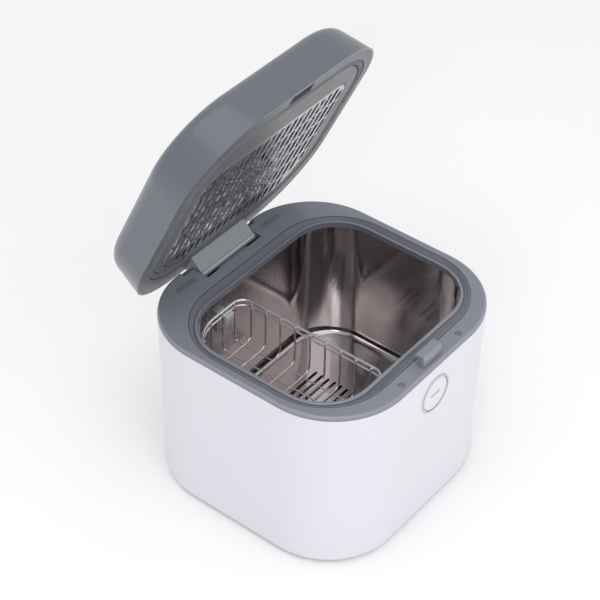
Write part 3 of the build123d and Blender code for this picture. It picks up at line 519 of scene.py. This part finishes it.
def window(inset):
    """Points round the lamp window, moved in: tight corners at the front, wide ones at the back."""
    half, front, back = WINDOW_HALF - inset, WINDOW_FRONT + inset, WINDOW_BACK - inset
    points = []
    for side, end, bend, start in ((1, front, FRONT_BEND, -90), (1, back, BACK_BEND, 0),
                                   (-1, back, BACK_BEND, 90), (-1, front, FRONT_BEND, 180)):
        bend -= inset
        middle = (side * (half - bend), end + bend if end < 0 else end - bend)
        points += arc(middle, bend, start, steps=10)
    return points


def window_reach(x, inset):
    """Lowest and highest place of the lamp window at a distance from its middle line."""
    half, front, back = WINDOW_HALF - inset, WINDOW_FRONT + inset, WINDOW_BACK - inset
    ends = []
    for end, bend, sign in ((front, FRONT_BEND - inset, 1), (back, BACK_BEND - inset, -1)):
        over = min(max(abs(x) - half + bend, 0.0), bend)
        ends.append(end + sign * (bend - math.sqrt(bend ** 2 - over ** 2)))
    return ends


def slot_outline(x, low, high, wide):
    """Points round one slot of the lamp screen."""
    bend = 1.7
    points = []
    for side, end, start in ((1, low, -90), (1, high, 0), (-1, high, 90), (-1, low, 180)):
        middle = (x + side * (wide / 2 - bend), end + bend if end == low else end - bend)
        points += arc(middle, bend, start, steps=4)
    return points


def make_lamp_screen(material):
    """Pressed steel screen in the lamp window, nearly flush, with rows of long slots and a turned edge."""
    face, seat, sheet = 198.9, 201.0, 0.8
    columns, column_pitch, slot_width = 20, 10.2, 6.2
    rows, row_pitch, first_row, bridge = 7, 27.5, -96.0, 2.8
    slot_length, shortest_slot, slot_margin = 24.7, 7.0, 2.3
    mesh = bmesh.new()

    def ring(points, z):
        """Points of a closed ring at a height, and its edges."""
        verts = [mesh.verts.new(opened(x, y, z)) for x, y in points]
        return verts, [mesh.edges.new((verts[k], verts[(k + 1) % len(verts)])) for k in range(len(verts))]

    rim, edges = ring(window(1.3), face)
    for column in range(-columns // 2, columns // 2):
        x = (column + 0.5) * column_pitch
        low, high = window_reach(abs(x) + slot_width / 2, slot_margin)
        for row in range(rows):
            start = first_row + row * row_pitch + bridge / 2
            end = start + slot_length
            start, end = max(start, low), min(end, high)
            if end - start > shortest_slot:
                edges += ring(slot_outline(x, start, end, slot_width), face)[1]
    bmesh.ops.triangle_fill(mesh, edges=edges, use_beauty=True, use_dissolve=False)
    turned_edge = ((1.0, face + 0.5), (0.9, seat), (-3.4, seat))
    rings = [rim] + [ring(window(inset), z)[0] for inset, z in turned_edge]
    for one, two in zip(rings, rings[1:]):
        join_rings(mesh, one, two)
    bmesh.ops.recalc_face_normals(mesh, faces=mesh.faces)
    bmesh.ops.solidify(mesh, geom=mesh.faces[:], thickness=sheet * MM)
    finish_piece("lamp_screen", mesh, material, "lid", "guard_steel", "lamp_guard")


def moulded_bar(profile, half):
    """Bar with a given side view, as wide as asked, with all its edges softened."""
    soften = 0.6
    mesh = bmesh.new()
    left = [mesh.verts.new(Vector((-half, y, z)) * MM) for y, z in profile]
    right = [mesh.verts.new(Vector((half, y, z)) * MM) for y, z in profile]
    mesh.faces.new(left)
    mesh.faces.new(right)
    join_rings(mesh, left, right)
    bmesh.ops.bevel(mesh, geom=mesh.edges[:], offset=soften * MM, segments=4, profile=0.5, affect="EDGES",
                    clamp_overlap=True)
    return mesh


def make_hinge_details(material, inner):
    """Rolled lower lip of the hinge plate, and the ledge in the middle of its pocket."""
    lip = ((116.4, 197.8), (114.1, 196.0), (113.8, 192.3), (115.2, 192.3), (116.6, 196.4))
    # The lip's lighter grey is a painted highlight
    finish_piece("hinge_lip", moulded_bar(lip, half=39.2), material, "lid", "rim_grey")
    ledge = ((108.5, 194.2), (112.7, 194.2), (112.7, 185.0), (108.5, 185.0))
    finish_piece("hinge_ledge", moulded_bar(ledge, half=17.0), inner, "base", "rim_grey")


def make_button_bar(material):
    """Short raised bar in the middle of the release button, with round ends and a softened front."""
    low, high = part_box("button_mark")
    middle, height, front = (low[0] + high[0]) / 2, (low[2] + high[2]) / 2, low[1]
    half, radius, sunk, edge, ease = 6.0 * MM, 1.3 * MM, 0.5 * MM, 0.1 * MM, 0.25 * MM
    mesh = bmesh.new()
    rows = []
    for depth, inset in ((front + sunk, 0.0), (front + edge, 0.0), (front, ease)):
        outline = (arc((half, height), radius - inset, -90, steps=10, sweep=180)
                   + arc((-half, height), radius - inset, 90, steps=10, sweep=180))
        rows.append([mesh.verts.new((middle + x, depth, z)) for x, z in outline])
    for one, two in zip(rows, rows[1:]):
        join_rings(mesh, one, two)
    mesh.faces.new(rows[0])
    mesh.faces.new(rows[-1])
    finish_piece("button_bar", mesh, material, "button", "mark_grey", "button_mark")


def make_stage():
    mesh = bmesh.new()
    bmesh.ops.create_grid(mesh, x_segments=8, y_segments=8, size=FLOOR_REACH)
    data = bpy.data.meshes.new("floor")
    mesh.to_mesh(data)
    mesh.free()
    data.materials.append(pale_floor("floor"))
    floor = bpy.data.objects.new("floor", data)
    scene.collection.objects.link(floor)


def make_lights():
    world = bpy.data.worlds.new("studio")
    world.use_nodes = True
    background = world.node_tree.nodes["Background"].inputs
    background["Color"].default_value = WORLD_COLOR
    background["Strength"].default_value = WORLD_STRENGTH
    scene.world = world
    for name, (place, aim, size, power) in LIGHTS.items():
        data = bpy.data.lights.new(name, "AREA")
        data.shape = "SQUARE"
        data.size = size
        data.energy = power
        light = bpy.data.objects.new(name, data)
        scene.collection.objects.link(light)
        light.location = place
        light.rotation_euler = (Vector(aim) - Vector(place)).to_track_quat("-Z", "Y").to_euler()
    scene.view_settings.view_transform = "Standard"


make_camera()
make_stage()
make_lights()
materials = make_materials()
paint_nodes(materials)
make_basket(materials["wire_steel"])
make_button_bar(materials["mark_grey"])
make_lamp_screen(materials["guard_steel"])
make_hinge_details(materials["hinge_edge"], materials["rim_grey"])

bpy.context.view_layer.update()
